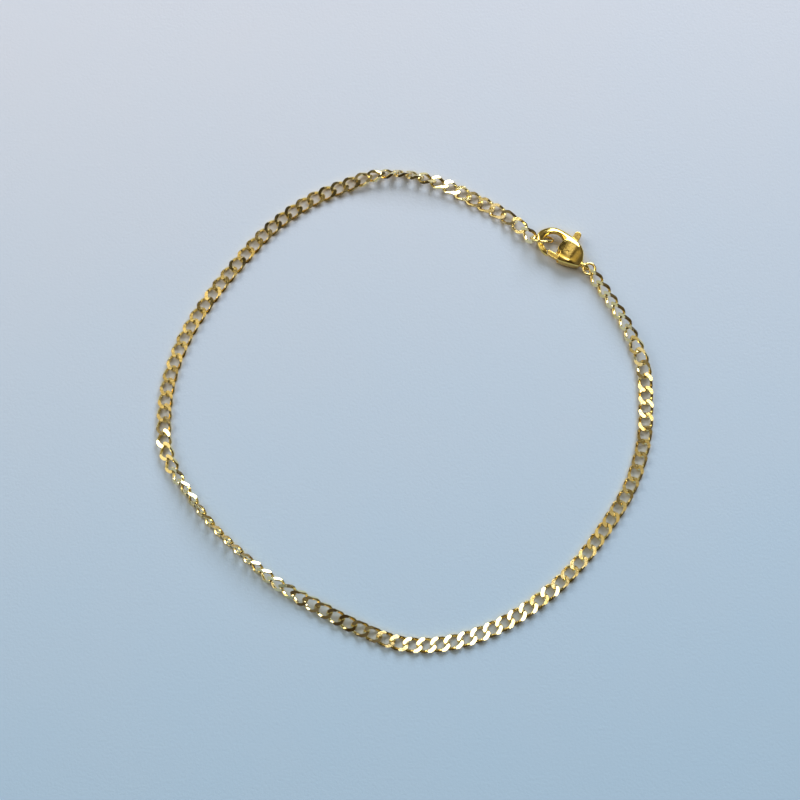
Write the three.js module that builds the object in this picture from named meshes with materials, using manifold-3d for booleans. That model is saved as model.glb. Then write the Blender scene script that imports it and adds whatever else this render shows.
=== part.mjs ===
// A fine curb chain bracelet in gilt brass, fastened in a loop and lying on a flat surface.
// A run of twisted oval links, filed flat above and below, is hooked at its start to a plain end ring
// and at its finish to a small jump ring. The jump ring hangs in the eye of a cast lobster clasp, whose
// hook holds the end ring, and whose riveted lever swings into the hook to let the ring out.
// Millimetres, +Z up. The origin is on the surface, under the middle of the loop. The clasp is at the
// upper right as seen from above, and the chain runs anticlockwise from the clasp's hook to its eye.
import * as THREE from "three";
import { mergeVertices } from "three/addons/utils/BufferGeometryUtils.js";
import Module from "manifold-3d";

const wasm = await Module();
wasm.setup();

// Chain sizes
const WIRE = 0.42; // diameter of the link wire
const LINK_LENGTH = 2.52; // outside length of one link
const LINK_WIDTH = 1.84; // outside width of one link
const CHAIN_THICKNESS = 0.72; // between the two filed faces
const LINK_TWIST = 94; // degrees between the two ends of one link
const LINK_SQUARENESS = 2.5; // of a link's oval: 2 is an ellipse, and more is squarer
const LINK_COUNT = 105;
const FIRST_HALF_COUNT = 53; // links in the half that starts at the end ring
const JOIN_DEPTH = 0.035; // how far touching wires run into each other, which makes a run one body
const HALVES_GAP = 0.08; // between the two halves, where their links hook together

// Ring sizes
const END_RING_OUTSIDE = 3.2;
const END_RING_WIRE = 0.36;
const END_RING_SETBACK = 0.885; // from the clasp's nose back to the ring's middle
const END_RING_TURN = 30; // degrees from the clasp's length to the ring's level diameter, from above
const END_RING_LEAN = 58; // degrees from the surface to the ring's plane
const END_RING_HOOK = -12; // degrees round the ring, below its level diameter, to the chain
const JUMP_RING_OUTSIDE = 1.88;
const JUMP_RING_WIRE = 0.36;
const JUMP_RING_TURN = 8; // degrees from the clasp's length to the line from the eye to the ring's middle
const JUMP_RING_PULL = -22; // degrees from the clasp's length to the way that the chain pulls the ring
const RING_GAP = 0.06; // between a ring's wire and the link that pulls on it

// Clasp sizes
const CLASP_LENGTH = 7.0; // without its eye
const CLASP_WIDTH = 4.1;
const CLASP_DEPTH = 2.0;
const CLASP_TURN = 144.7; // degrees from +X to the way that the nose points
const HOOK_HOLE = 2.55; // diameter of the hole in the hook, at the middle of its depth
const HOOK_WALL_ROUNDING = 0.95; // radius of the hole's wall, seen in section
const MOUTH_START = 3.15; // from the tail to the body's shoulder
const EYE_HOLE = 0.75;
const EYE_WIRE = 0.42;
const RIVET_DIAMETER = 0.5;
const RIVET_GAP = 0.03; // around the rivet in the body
const LEVER_THICKNESS = 0.8;
const LEVER_REACH = 2.6; // from the rivet's middle to the end of the gate arm
const LEVER_ARM = 0.6; // width of the gate arm
const LEVER_TAB = 0.95; // width of the thumb tab
const LEVER_HUB = 1.05; // diameter of the boss around the rivet
const LEVER_RUNNING_GAP = 0.05; // around the rivet in the lever
const LEVER_SIDE_GAP = 0.1; // around the lever in its slot, and at the tip of the hook
const LEVER_OPENING = 20; // degrees that the lever swings

// The lie of the loop, in shares of its size: where the clasp's tail lies, and the chosen points that the
// chain passes, from the end ring round to the jump ring. The number of links sets the loop's size. The
// roll turns the chain about its own length, in degrees, and lifts the edge inside the loop where it is
// positive.
const CLASP_SHARE = { x: 0.7633, y: 0.6067 };
const ROUTE = [
  { x: 0.475, y: 0.8037, roll: -8 },
  { x: 0.3917, y: 0.8627, roll: 0 },
  { x: 0.3003, y: 0.9087, roll: 4 },
  { x: 0.2063, y: 0.9583, roll: 14 },
  { x: 0.1053, y: 0.9953, roll: 38 },
  { x: -0.001, y: 1.0217, roll: 60 },
  { x: -0.11, y: 1.0193, roll: 38 },
  { x: -0.215, y: 0.9893, roll: 6 },
  { x: -0.4123, y: 0.9043, roll: 0 },
  { x: -0.5823, y: 0.7783, roll: 0 },
  { x: -0.7203, y: 0.623, roll: 0 },
  { x: -0.844, y: 0.4587, roll: 0 },
  { x: -0.9493, y: 0.2763, roll: 0 },
  { x: -1.0127, y: 0.0703, roll: 0 },
  { x: -1.021, y: -0.1473, roll: 10 },
  { x: -0.993, y: -0.253, roll: 34 },
  { x: -0.939, y: -0.3487, roll: 60 },
  { x: -0.8137, y: -0.5163, roll: 78 },
  { x: -0.671, y: -0.6527, roll: 76 },
  { x: -0.5253, y: -0.773, roll: 52 },
  { x: -0.3627, y: -0.8637, roll: 24 },
  { x: -0.1923, y: -0.95, roll: 8 },
  { x: -0.0023, y: -1.0167, roll: 0 },
  { x: 0.1997, y: -1.0077, roll: 0 },
  { x: 0.3907, y: -0.9393, roll: 0 },
  { x: 0.5627, y: -0.8317, roll: -4 },
  { x: 0.7123, y: -0.6947, roll: 0 },
  { x: 0.8383, y: -0.5333, roll: 4 },
  { x: 0.9503, y: -0.3537, roll: 0 },
  { x: 1.0143, y: -0.147, roll: 0 },
  { x: 1.025, y: 0.072, roll: -10 },
  { x: 1.013, y: 0.182, roll: -26 },
  { x: 0.971, y: 0.2843, roll: -50 },
  { x: 0.9247, y: 0.3827, roll: -62 },
];
const START_ROLL = -76; // the first link stands on its edge, so that the leaning end ring can pass it
const LIFT_RUN = 5; // how far from a ring the chain is back on the surface

// Facets
const LINK_SIDES = 10;
const LINK_WIRE_SIDES = 5;
const RING_SIDES = 16;
const RING_WIRE_SIDES = 6;
const CLASP_SIDES = 20;
const ROUND_SIDES = 16; // round ends, bores and the rivet
const ARC_SIDES = 64; // the arc that the end of the gate arm sweeps
const ROUTE_STEPS = 40; // between two chosen points

const radians = THREE.MathUtils.degToRad;
const CHAIN_GOLD = gilt("chain_gold", 0xe3c16a, 0.18);
const CLASP_GOLD = gilt("clasp_gold", 0xdcb14a, 0.2);

function gilt(name, color, roughness) {
  return new THREE.MeshStandardMaterial({ name, color, roughness, metalness: 1 });
}

// Solids

function solidOf(geometry) {
  const bare = geometry.clone();
  bare.deleteAttribute("normal");
  bare.deleteAttribute("uv");
  const merged = mergeVertices(bare, 1e-4);
  return new wasm.Manifold(
    new wasm.Mesh({
      numProp: 3,
      vertProperties: new Float32Array(merged.attributes.position.array),
      triVerts: new Uint32Array(merged.index.array),
    }),
  );
}

function geometryOf(solid) {
  const made = solid.getMesh();
  return new THREE.BufferGeometry()
    .setAttribute("position", new THREE.BufferAttribute(made.vertProperties, 3))
    .setIndex(new THREE.BufferAttribute(made.triVerts, 1));
}

function named(name, geometry, material) {
  const mesh = new THREE.Mesh(geometry, material);
  mesh.name = name;
  return mesh;
}

// A round-ended bar in the XY plane, as thick as asked, centred on z = 0.
function bar(from, to, width, thickness) {
  const half = width / 2;
  const along = Math.atan2(to.y - from.y, to.x - from.x);
  const outline = new THREE.Shape();
  outline.absarc(to.x, to.y, half, along - Math.PI / 2, along + Math.PI / 2, false);
  outline.absarc(from.x, from.y, half, along + Math.PI / 2, along + 1.5 * Math.PI, false);
  return slab(outline, thickness);
}

function slab(outline, thickness) {
  const settings = { depth: thickness, bevelEnabled: false, curveSegments: ROUND_SIDES / 2 };
  return new THREE.ExtrudeGeometry(outline, settings).translate(0, 0, -thickness / 2);
}

function pin(centre, diameter, length, sides = ROUND_SIDES) {
  return new THREE.CylinderGeometry(diameter / 2, diameter / 2, length, sides)
    .rotateX(Math.PI / 2)
    .translate(centre.x, centre.y, 0);
}

// Chain

const LINK_REACH = (LINK_LENGTH - WIRE) / 2; // from a link's middle to its wire's centre line, lengthways
const LINK_SPREAD = (LINK_WIDTH - WIRE) / 2; // the same, sideways
const LINK_PITCH = LINK_LENGTH - 2 * WIRE + JOIN_DEPTH;

// A cosine or sine on a squared oval instead of a circle.
const squared = (value, squareness) => Math.sign(value) * Math.abs(value) ** (2 / squareness);

// A point of one link's centre line: an oval whose plane turns steadily from one end to the other.
function linkPoint(angle) {
  const along = squared(Math.cos(angle), LINK_SQUARENESS);
  const across = LINK_SPREAD * squared(Math.sin(angle), LINK_SQUARENESS);
  const turn = -radians(LINK_TWIST / 2) * along;
  return new THREE.Vector3(LINK_REACH * along, across * Math.cos(turn), across * Math.sin(turn));
}

// One link, with an edge of its wire along the inside. A straight facet crosses each end, drawn out so
// that it lies where the round end would.
function linkGeometry() {
  const points = [];
  const faces = [];
  const drawnOut = 1 / squared(Math.cos(Math.PI / LINK_SIDES), LINK_SQUARENESS);
  const face = CHAIN_THICKNESS / 2;
  for (let i = 0; i < LINK_SIDES; i += 1) {
    const angle = (2 * Math.PI * (i + 0.5)) / LINK_SIDES;
    const centre = linkPoint(angle);
    const ahead = linkPoint(angle + 0.01).sub(linkPoint(angle - 0.01)).normalize();
    const inward = centre.clone().negate().projectOnPlane(ahead).normalize();
    const sideways = ahead.clone().cross(inward);
    centre.x *= drawnOut;
    if (Math.abs(Math.cos(angle)) > Math.cos((2 * Math.PI) / LINK_SIDES)) {
      inward.divideScalar(Math.abs(inward.x)); // mitred, so that the end's inside edge is in its place
    }
    for (let j = 0; j < LINK_WIRE_SIDES; j += 1) {
      const around = (2 * Math.PI * j) / LINK_WIRE_SIDES;
      const point = centre
        .clone()
        .addScaledVector(inward, (WIRE / 2) * Math.cos(around))
        .addScaledVector(sideways, (WIRE / 2) * Math.sin(around));
      points.push(point.x, point.y, THREE.MathUtils.clamp(point.z, -face, face)); // the filed faces
      const corner = (row, column) =>
        ((i + row) % LINK_SIDES) * LINK_WIRE_SIDES + ((j + column) % LINK_WIRE_SIDES);
      faces.push(corner(0, 0), corner(0, 1), corner(1, 1), corner(0, 0), corner(1, 1), corner(1, 0));
    }
  }
  return new THREE.BufferGeometry()
    .setAttribute("position", new THREE.Float32BufferAttribute(points, 3))
    .setIndex(faces);
}

const LINK = linkGeometry();

// How high a link's middle lies when it rests on the surface at a roll.
function restHeight(roll) {
  const [sine, cosine] = [Math.sin(radians(roll)), Math.cos(radians(roll))];
  const points = LINK.attributes.position;
  let lowest = 0;
  for (let i = 0; i < points.count; i += 1) {
    lowest = Math.min(lowest, points.getY(i) * sine + points.getZ(i) * cosine);
  }
  return -lowest;
}

// The chain's way from `start` through the chosen points to `finish`, for a loop of this size, as a list
// of samples with the distance covered, seen from above.
function walk(start, finish, loopSize) {
  const knots = [
    new THREE.Vector3(start.x, start.y, start.roll),
    ...ROUTE.map((row) => new THREE.Vector3(row.x * loopSize, row.y * loopSize, row.roll)),
    new THREE.Vector3(finish.x, finish.y, finish.roll),
  ];
  const curve = new THREE.CatmullRomCurve3(knots, false, "catmullrom", 0.5);
  const samples = curve.getPoints((knots.length - 1) * ROUTE_STEPS);
  let covered = 0;
  return samples.map((point, i) => {
    if (i) covered += Math.hypot(point.x - samples[i - 1].x, point.y - samples[i - 1].y);
    return { x: point.x, y: point.y, roll: point.z, covered };
  });
}

function pointAlong(way, distance) {
  const wanted = THREE.MathUtils.clamp(distance, 0, way[way.length - 1].covered);
  let i = 1;
  while (i < way.length - 1 && way[i].covered < wanted) i += 1;
  const [a, b] = [way[i - 1], way[i]];
  const share = (wanted - a.covered) / (b.covered - a.covered);
  return {
    x: a.x + (b.x - a.x) * share,
    y: a.y + (b.y - a.y) * share,
    roll: a.roll + (b.roll - a.roll) * share,
  };
}

// Clasp, in its own frame: +X from the tail to the nose, +Y to the side of the gate, z = 0 at mid-depth

const EYE_RADIUS = (EYE_HOLE + EYE_WIRE) / 2;
const EYE_CENTRE = { x: -EYE_RADIUS + EYE_WIRE / 3, y: 0 };
const HOLE_CENTRE = { x: 0.662 * CLASP_LENGTH, y: -0.075 * CLASP_WIDTH };
const PIVOT = { x: 0.335 * CLASP_LENGTH, y: -0.05 * CLASP_WIDTH };
const GATE_LINE = HOLE_CENTRE.y + HOOK_HOLE / 2 + 0.15 * LEVER_ARM; // the gate arm's middle, at the elbow
const ELBOW = { x: MOUTH_START - 0.3 * LEVER_ARM, y: GATE_LINE };
const GATE_END = { x: PIVOT.x + LEVER_REACH, y: GATE_LINE + 0.3 * LEVER_ARM }; // cut off at the lever's reach
const TAB_END = { x: PIVOT.x + 0.25 * LEVER_TAB, y: -0.83 * CLASP_WIDTH + LEVER_TAB / 2 };

// Sections of the cast body: `along` is a share of its length, `across` and `half` of its width, and
// `deep` of its depth.
const BODY_SECTIONS = [
  { along: 0.0, across: 0.0, half: 0.085, deep: 0.4 },
  { along: 0.03, across: -0.018, half: 0.165, deep: 0.6 },
  { along: 0.1, across: -0.075, half: 0.283, deep: 0.84 },
  { along: 0.21, across: -0.1, half: 0.38, deep: 1.0 },
  { along: 0.34, across: -0.1, half: 0.447, deep: 1.0 },
  { along: 0.48, across: -0.105, half: 0.48, deep: 0.93 },
  { along: 0.62, across: -0.09, half: 0.5, deep: 0.79 },
  { along: 0.75, across: -0.085, half: 0.475, deep: 0.64 },
  { along: 0.86, across: -0.088, half: 0.385, deep: 0.5 },
  { along: 0.94, across: -0.08, half: 0.25, deep: 0.39 },
  { along: 0.985, across: -0.078, half: 0.13, deep: 0.29 },
  { along: 1.0, across: -0.075, half: 0.05, deep: 0.18 },
];
const SECTION_FULLNESS = 2.3; // 2 is an ellipse, and more is squarer

function bodySection(row) {
  const ring = [];
  for (let i = 0; i < CLASP_SIDES; i += 1) {
    const angle = ((i + 0.5) * 2 * Math.PI) / CLASP_SIDES;
    const side = squared(Math.cos(angle), SECTION_FULLNESS);
    const up = squared(Math.sin(angle), SECTION_FULLNESS);
    ring.push([
      row.along * CLASP_LENGTH,
      (row.across + row.half * side) * CLASP_WIDTH,
      (row.deep * up * CLASP_DEPTH) / 2,
    ]);
  }
  return ring;
}

// A closed skin over sections with as many points each, with a fan over each end.
function loft(sections) {
  const sides = sections[0].length;
  const last = (sections.length - 1) * sides;
  const faces = [];
  for (let row = 0; row < sections.length - 1; row += 1) {
    for (let i = 0; i < sides; i += 1) {
      const [a, b] = [row * sides + i, row * sides + ((i + 1) % sides)];
      faces.push(a, b, b + sides, a, b + sides, a + sides);
    }
  }
  for (let i = 1; i < sides - 1; i += 1) {
    faces.push(0, i + 1, i, last, last + i, last + i + 1);
  }
  return new THREE.BufferGeometry()
    .setAttribute("position", new THREE.Float32BufferAttribute(sections.flat(2), 3))
    .setIndex(faces);
}

// The hole through the hook, wider at both faces, as a waisted plug.
function holePlug() {
  const reach = 0.9 * HOOK_WALL_ROUNDING;
  const steps = 8;
  const profile = [new THREE.Vector2(0, -reach)];
  for (let i = 0; i <= steps; i += 1) {
    const height = -reach + (2 * reach * i) / steps;
    const flare = HOOK_WALL_ROUNDING - Math.sqrt(HOOK_WALL_ROUNDING ** 2 - height ** 2);
    profile.push(new THREE.Vector2(HOOK_HOLE / 2 + flare, height));
  }
  profile.push(new THREE.Vector2(0, reach));
  return new THREE.LatheGeometry(profile, CLASP_SIDES)
    .rotateX(Math.PI / 2)
    .translate(HOLE_CENTRE.x, HOLE_CENTRE.y, 0);
}

// The mouth in the gate side of the hook, from the body's shoulder to the arc that the gate arm sweeps.
function mouth() {
  const inner = HOLE_CENTRE.y + HOOK_HOLE / 4;
  const outer = CLASP_WIDTH;
  const slant = LEVER_ARM;
  const outline = new THREE.Shape([
    new THREE.Vector2(MOUTH_START, inner),
    new THREE.Vector2(CLASP_LENGTH, inner),
    new THREE.Vector2(CLASP_LENGTH, outer),
    new THREE.Vector2(MOUTH_START - slant, outer),
  ]);
  const depth = 1.2 * CLASP_DEPTH;
  const arc = pin(PIVOT, 2 * (LEVER_REACH + LEVER_SIDE_GAP), depth, ARC_SIDES);
  return geometryOf(solidOf(slab(outline, depth)).intersect(solidOf(arc)));
}

const angleTo = (point) => Math.atan2(point.y - PIVOT.y, point.x - PIVOT.x);
const distanceTo = (point) => Math.hypot(point.x - PIVOT.x, point.y - PIVOT.y);

// The slot that an arm sweeps between two angles at the rivet, as the lever swings clockwise from them.
function sweptSlot(least, most, width, reach) {
  const half = width / 2 + LEVER_SIDE_GAP;
  const first = least - radians(LEVER_OPENING);
  const middle = (first + most) / 2;
  const corner = (angle, turn, distance) =>
    new THREE.Vector2(
      PIVOT.x + distance * Math.cos(angle) + half * Math.cos(angle + turn),
      PIVOT.y + distance * Math.sin(angle) + half * Math.sin(angle + turn),
    );
  const outline = new THREE.Shape([
    corner(first, -Math.PI / 2, 0),
    corner(first, -Math.PI / 2, reach),
    corner(middle, 0, reach),
    corner(most, Math.PI / 2, reach),
    corner(most, Math.PI / 2, 0),
    corner(middle, Math.PI, 0),
  ]);
  return slab(outline, LEVER_THICKNESS + 2 * LEVER_SIDE_GAP);
}

function claspBody() {
  const slotDepth = LEVER_THICKNESS + 2 * LEVER_SIDE_GAP;
  const cuts = [
    holePlug(),
    mouth(),
    sweptSlot(angleTo(GATE_END), angleTo(ELBOW), LEVER_ARM, distanceTo(ELBOW) + LEVER_ARM),
    sweptSlot(angleTo(TAB_END), angleTo(TAB_END), LEVER_TAB, CLASP_WIDTH),
    pin(PIVOT, LEVER_HUB + 2 * LEVER_SIDE_GAP, slotDepth),
    pin(PIVOT, RIVET_DIAMETER + 2 * RIVET_GAP, 2 * CLASP_DEPTH),
  ];
  const eye = new THREE.TorusGeometry(EYE_RADIUS, EYE_WIRE / 2, RING_WIRE_SIDES, RING_SIDES)
    .rotateX(Math.PI / 2)
    .translate(EYE_CENTRE.x, EYE_CENTRE.y, 0);
  const cast = solidOf(loft(BODY_SECTIONS.map(bodySection))).add(solidOf(eye));
  return geometryOf(cuts.reduce((solid, cut) => solid.subtract(solidOf(cut)), cast));
}

function claspLever() {
  const gate = solidOf(bar(ELBOW, GATE_END, LEVER_ARM, LEVER_THICKNESS));
  const parts = [
    gate.intersect(solidOf(pin(PIVOT, 2 * LEVER_REACH, LEVER_THICKNESS, ARC_SIDES))),
    solidOf(bar(PIVOT, ELBOW, LEVER_ARM, LEVER_THICKNESS)),
    solidOf(bar(PIVOT, TAB_END, LEVER_TAB, LEVER_THICKNESS)),
    solidOf(pin(PIVOT, LEVER_HUB, LEVER_THICKNESS)),
  ];
  const bore = solidOf(pin(PIVOT, RIVET_DIAMETER + 2 * LEVER_RUNNING_GAP, 2 * LEVER_THICKNESS));
  return geometryOf(wasm.Manifold.union(parts).subtract(bore));
}

// Rings

const END_RING_RADIUS = (END_RING_OUTSIDE - END_RING_WIRE) / 2;
const JUMP_RING_RADIUS = (JUMP_RING_OUTSIDE - JUMP_RING_WIRE) / 2;

// A ring whose plane holds the two directions, at right angles, with its first radius along the first.
function ringMesh(name, radius, wire, first, second) {
  const torus = new THREE.TorusGeometry(radius, wire / 2, RING_WIRE_SIDES, RING_SIDES);
  const mesh = named(name, torus, CHAIN_GOLD);
  const normal = first.clone().cross(second);
  mesh.quaternion.setFromRotationMatrix(new THREE.Matrix4().makeBasis(first, second, normal));
  return mesh;
}

// A level direction, at an angle seen from above.
const level = (degrees) => new THREE.Vector3(Math.cos(radians(degrees)), Math.sin(radians(degrees)), 0);

// From a link's hooking point to the centre of the ring's wire inside it.
const hookDistance = (ringWire) => (JOIN_DEPTH + ringWire) / 2 + RING_GAP;

// Assembly

const clasp = new THREE.Group();
const body = named("clasp_body", claspBody(), CLASP_GOLD);
body.geometry.computeBoundingBox();
const claspHeight = -body.geometry.boundingBox.min.z;
clasp.add(
  body,
  named("clasp_lever", claspLever(), CLASP_GOLD),
  named("rivet_pin", pin(PIVOT, RIVET_DIAMETER, 1.94 * claspHeight), CLASP_GOLD),
);

// The end ring stands on the surface, round the hook, and leans over towards the gate. The chain hooks
// it below its level diameter.
const endLevel = level(END_RING_TURN);
const endLean = level(END_RING_TURN + 90)
  .multiplyScalar(Math.cos(radians(END_RING_LEAN)))
  .setZ(Math.sin(radians(END_RING_LEAN)));
const endRing = ringMesh("end_ring", END_RING_RADIUS, END_RING_WIRE, endLevel, endLean);
const endRingHeight = END_RING_RADIUS * endLean.z + END_RING_WIRE / 2 - claspHeight;
endRing.position.set(CLASP_LENGTH - END_RING_SETBACK, 0.05 * CLASP_WIDTH, endRingHeight);
const endHook = endRing.position
  .clone()
  .addScaledVector(endLevel, END_RING_RADIUS * Math.cos(radians(END_RING_HOOK)))
  .addScaledVector(endLean, END_RING_RADIUS * Math.sin(radians(END_RING_HOOK)));

// The jump ring passes through the middle of the eye, and slopes down the way that the chain pulls it,
// to the height at which the last link rests.
const finishRoll = ROUTE[ROUTE.length - 1].roll;
const bend = radians(JUMP_RING_TURN - JUMP_RING_PULL);
const drop = claspHeight - restHeight(finishRoll);
const slope = Math.asin(drop / (JUMP_RING_RADIUS * (1 + Math.cos(bend))));
const pull = level(180 + JUMP_RING_PULL).multiplyScalar(Math.cos(slope)).setZ(-Math.sin(slope));
const across = level(270 + JUMP_RING_PULL);
const jumpRing = ringMesh("jump_ring", JUMP_RING_RADIUS, JUMP_RING_WIRE, pull, across);
jumpRing.position
  .set(EYE_CENTRE.x, EYE_CENTRE.y, 0)
  .addScaledVector(pull, JUMP_RING_RADIUS * Math.cos(bend))
  .addScaledVector(across, JUMP_RING_RADIUS * Math.sin(bend));
const jumpHook = jumpRing.position.clone().addScaledVector(pull, JUMP_RING_RADIUS);
clasp.add(endRing, jumpRing);

function placeClasp(loopSize) {
  clasp.position.set(CLASP_SHARE.x * loopSize, CLASP_SHARE.y * loopSize, claspHeight);
  clasp.rotation.z = radians(CLASP_TURN);
  clasp.updateMatrixWorld(true);
}

// The chain's way round a loop of this size, from inside the end ring to inside the jump ring. Each of
// its ends lies back from the ring's wire, towards the other side of the ring.
function wayAt(loopSize) {
  placeClasp(loopSize);
  const [start, finish] = [endHook, jumpHook].map((hook) => hook.clone().applyMatrix4(clasp.matrixWorld));
  const [next, last] = [ROUTE[0], ROUTE[ROUTE.length - 1]];
  const leaving = Math.atan2(next.y * loopSize - start.y, next.x * loopSize - start.x);
  const arriving = Math.atan2(finish.y - last.y * loopSize, finish.x - last.x * loopSize);
  start.x -= hookDistance(END_RING_WIRE) * Math.cos(leaving);
  start.y -= hookDistance(END_RING_WIRE) * Math.sin(leaving);
  start.z = Math.max(start.z, restHeight(START_ROLL));
  finish.x += hookDistance(JUMP_RING_WIRE) * Math.cos(arriving);
  finish.y += hookDistance(JUMP_RING_WIRE) * Math.sin(arriving);
  const way = walk({ ...start, roll: START_ROLL }, { ...finish, roll: finishRoll }, loopSize);
  return { way, start, finish };
}

// The loop grows until all the links fill it.
const halvesStep = -(HALVES_GAP + JOIN_DEPTH); // the halves' middle links lie closer, so that they miss
const chainLength = LINK_COUNT * LINK_PITCH + halvesStep;
let [narrow, wide] = [0.1 * chainLength, 0.3 * chainLength];
for (let i = 0; i < 40; i += 1) {
  const middle = (narrow + wide) / 2;
  const { way } = wayAt(middle);
  if (way[way.length - 1].covered < chainLength) narrow = middle;
  else wide = middle;
}
const { way, start, finish } = wayAt(wide);

// A hooking point of the chain, high enough for the links that meet there.
function chainPoint(distance) {
  const point = pointAlong(way, distance);
  const fade = (gone) => THREE.MathUtils.smoothstep(LIFT_RUN - gone, 0, LIFT_RUN);
  const startLift = (start.z - restHeight(START_ROLL)) * fade(distance);
  const finishLift = (finish.z - restHeight(finishRoll)) * fade(chainLength - distance);
  const shares = [-0.7, -0.35, 0, 0.35, 0.7];
  const nearby = shares.map((share) => pointAlong(way, distance + share * LINK_PITCH).roll);
  const height = Math.max(...nearby.map(restHeight)) + startLift + finishLift;
  return { at: new THREE.Vector3(point.x, point.y, height), roll: point.roll };
}

// The place of link `i`: its length lies between its two hooking points, turned by the roll.
function linkMatrix(i) {
  const begin = i * LINK_PITCH + (i < FIRST_HALF_COUNT ? 0 : halvesStep);
  const back = chainPoint(begin).at;
  const front = chainPoint(begin + LINK_PITCH).at;
  const forward = front.clone().sub(back).normalize();
  const side = new THREE.Vector3(0, 0, 1).cross(forward).normalize();
  const up = forward.clone().cross(side);
  return new THREE.Matrix4()
    .makeBasis(forward, side, up)
    .multiply(new THREE.Matrix4().makeRotationX(radians(chainPoint(begin + LINK_PITCH / 2).roll)))
    .setPosition(back.add(front).multiplyScalar(0.5));
}

function chainRun(name, first, count) {
  const links = [];
  for (let i = first; i < first + count; i += 1) {
    links.push(solidOf(LINK.clone().applyMatrix4(linkMatrix(i))));
  }
  return named(name, geometryOf(wasm.Manifold.union(links)), CHAIN_GOLD);
}

const bracelet = new THREE.Group();
bracelet.add(
  chainRun("chain_first_half", 0, FIRST_HALF_COUNT),
  chainRun("chain_second_half", FIRST_HALF_COUNT, LINK_COUNT - FIRST_HALF_COUNT),
  clasp,
);

// The origin goes on the surface, under the middle of the whole.
const box = new THREE.Box3().setFromObject(bracelet, true);
const middle = box.getCenter(new THREE.Vector3());
bracelet.position.set(-middle.x, -middle.y, -box.min.z);

export default bracelet;
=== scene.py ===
# %% [markdown]
# # A fine curb chain bracelet
#
# The bracelet is a loop of 105 twisted oval links, closed by a lobster clasp. This lesson dresses the
# plain solids of the CAD model: each piece is built again with finer wire and softer edges, in the place
# that its solid gives, and gets a polished gold finish.
#
# The frame comes first. It loads the solids in metres and hands out their boxes, so nothing is fitted by
# eye later on.

# %% The frame
import math

import bmesh
import bpy
import numpy as np
from mathutils import Matrix, Vector


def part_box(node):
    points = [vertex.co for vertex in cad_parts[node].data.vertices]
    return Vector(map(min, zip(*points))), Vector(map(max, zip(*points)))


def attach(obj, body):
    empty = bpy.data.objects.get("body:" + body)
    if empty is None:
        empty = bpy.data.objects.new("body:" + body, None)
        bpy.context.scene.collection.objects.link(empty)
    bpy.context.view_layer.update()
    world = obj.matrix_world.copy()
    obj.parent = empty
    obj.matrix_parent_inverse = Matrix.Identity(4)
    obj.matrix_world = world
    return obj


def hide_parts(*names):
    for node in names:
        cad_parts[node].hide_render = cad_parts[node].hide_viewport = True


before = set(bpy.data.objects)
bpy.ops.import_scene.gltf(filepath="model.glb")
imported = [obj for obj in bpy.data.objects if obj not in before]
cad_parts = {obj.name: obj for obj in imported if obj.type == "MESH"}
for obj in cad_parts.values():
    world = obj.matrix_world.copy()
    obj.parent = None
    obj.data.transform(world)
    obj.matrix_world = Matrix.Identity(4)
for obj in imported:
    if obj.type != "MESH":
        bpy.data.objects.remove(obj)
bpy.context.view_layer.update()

scene = bpy.context.scene
MM = 0.001  # pieces are built in millimetres, and scaled once when they are done

# %% [markdown]
# ## Camera
#
# The photograph was taken from nearly overhead with a longish lens. The camera stands off from a point
# on the surface, and looks down at it from 78 degrees above the surface.

# %% Camera
LOOK_AT = Vector((-0.69, 0.5, 0)) * MM
CAMERA_DISTANCE = 191.3 * MM
CAMERA_ANGLE = math.radians(78)
FOCAL_LENGTH = 66.85
SENSOR_WIDTH = 36

lens = bpy.data.cameras.new("camera")
lens.lens = FOCAL_LENGTH
lens.sensor_width = SENSOR_WIDTH
lens.clip_start = 10 * MM
camera = bpy.data.objects.new("camera", lens)
scene.collection.objects.link(camera)
away = Vector((0, -math.cos(CAMERA_ANGLE), math.sin(CAMERA_ANGLE)))
camera.location = LOOK_AT + away * CAMERA_DISTANCE
camera.rotation_euler = (math.pi / 2 - CAMERA_ANGLE, 0, 0)
scene.camera = camera
print("camera in mm:", [round(v / MM, 1) for v in camera.location])

# %% [markdown]
# ## Sums as nodes
#
# Both materials and Geometry Nodes work things out in nodes, and long chains of Math nodes are hard to
# read. Here a small class wraps a socket, so that a sum written in Python adds its nodes, and one method
# adds any other node.

# %% Nodes from Python
class Value:
    """A node's output, which grows Math nodes when Python does sums with it."""

    def __init__(self, graph, socket):
        self.graph = graph
        self.socket = socket

    def math(self, operation, *values):
        return self.graph.node("ShaderNodeMath", {"operation": operation}, dict(enumerate(values)))

    def __add__(self, other):
        return self.math("ADD", self, other)

    def __radd__(self, other):
        return self.math("ADD", other, self)

    def __sub__(self, other):
        return self.math("SUBTRACT", self, other)

    def __rsub__(self, other):
        return self.math("SUBTRACT", other, self)

    def __mul__(self, other):
        return self.math("MULTIPLY", self, other)

    def __rmul__(self, other):
        return self.math("MULTIPLY", other, self)

    def __truediv__(self, other):
        return self.math("DIVIDE", self, other)

    def __abs__(self):
        return self.math("ABSOLUTE", self)

    def sine(self):
        return self.math("SINE", self)

    def cosine(self):
        return self.math("COSINE", self)

    def squared_off(self, squareness):
        """A cosine or sine on a squared oval instead of a circle."""
        return self.math("POWER", abs(self), 2 / squareness) * self.math("SIGN", self)

    def rising(self, start, end):
        """0 at `start` and 1 at `end`, with a soft step between."""
        values = {0: self, 1: start, 2: end, 3: 0.0, 4: 1.0}
        return self.graph.node("ShaderNodeMapRange", {"interpolation_type": "SMOOTHSTEP"}, values)


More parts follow.
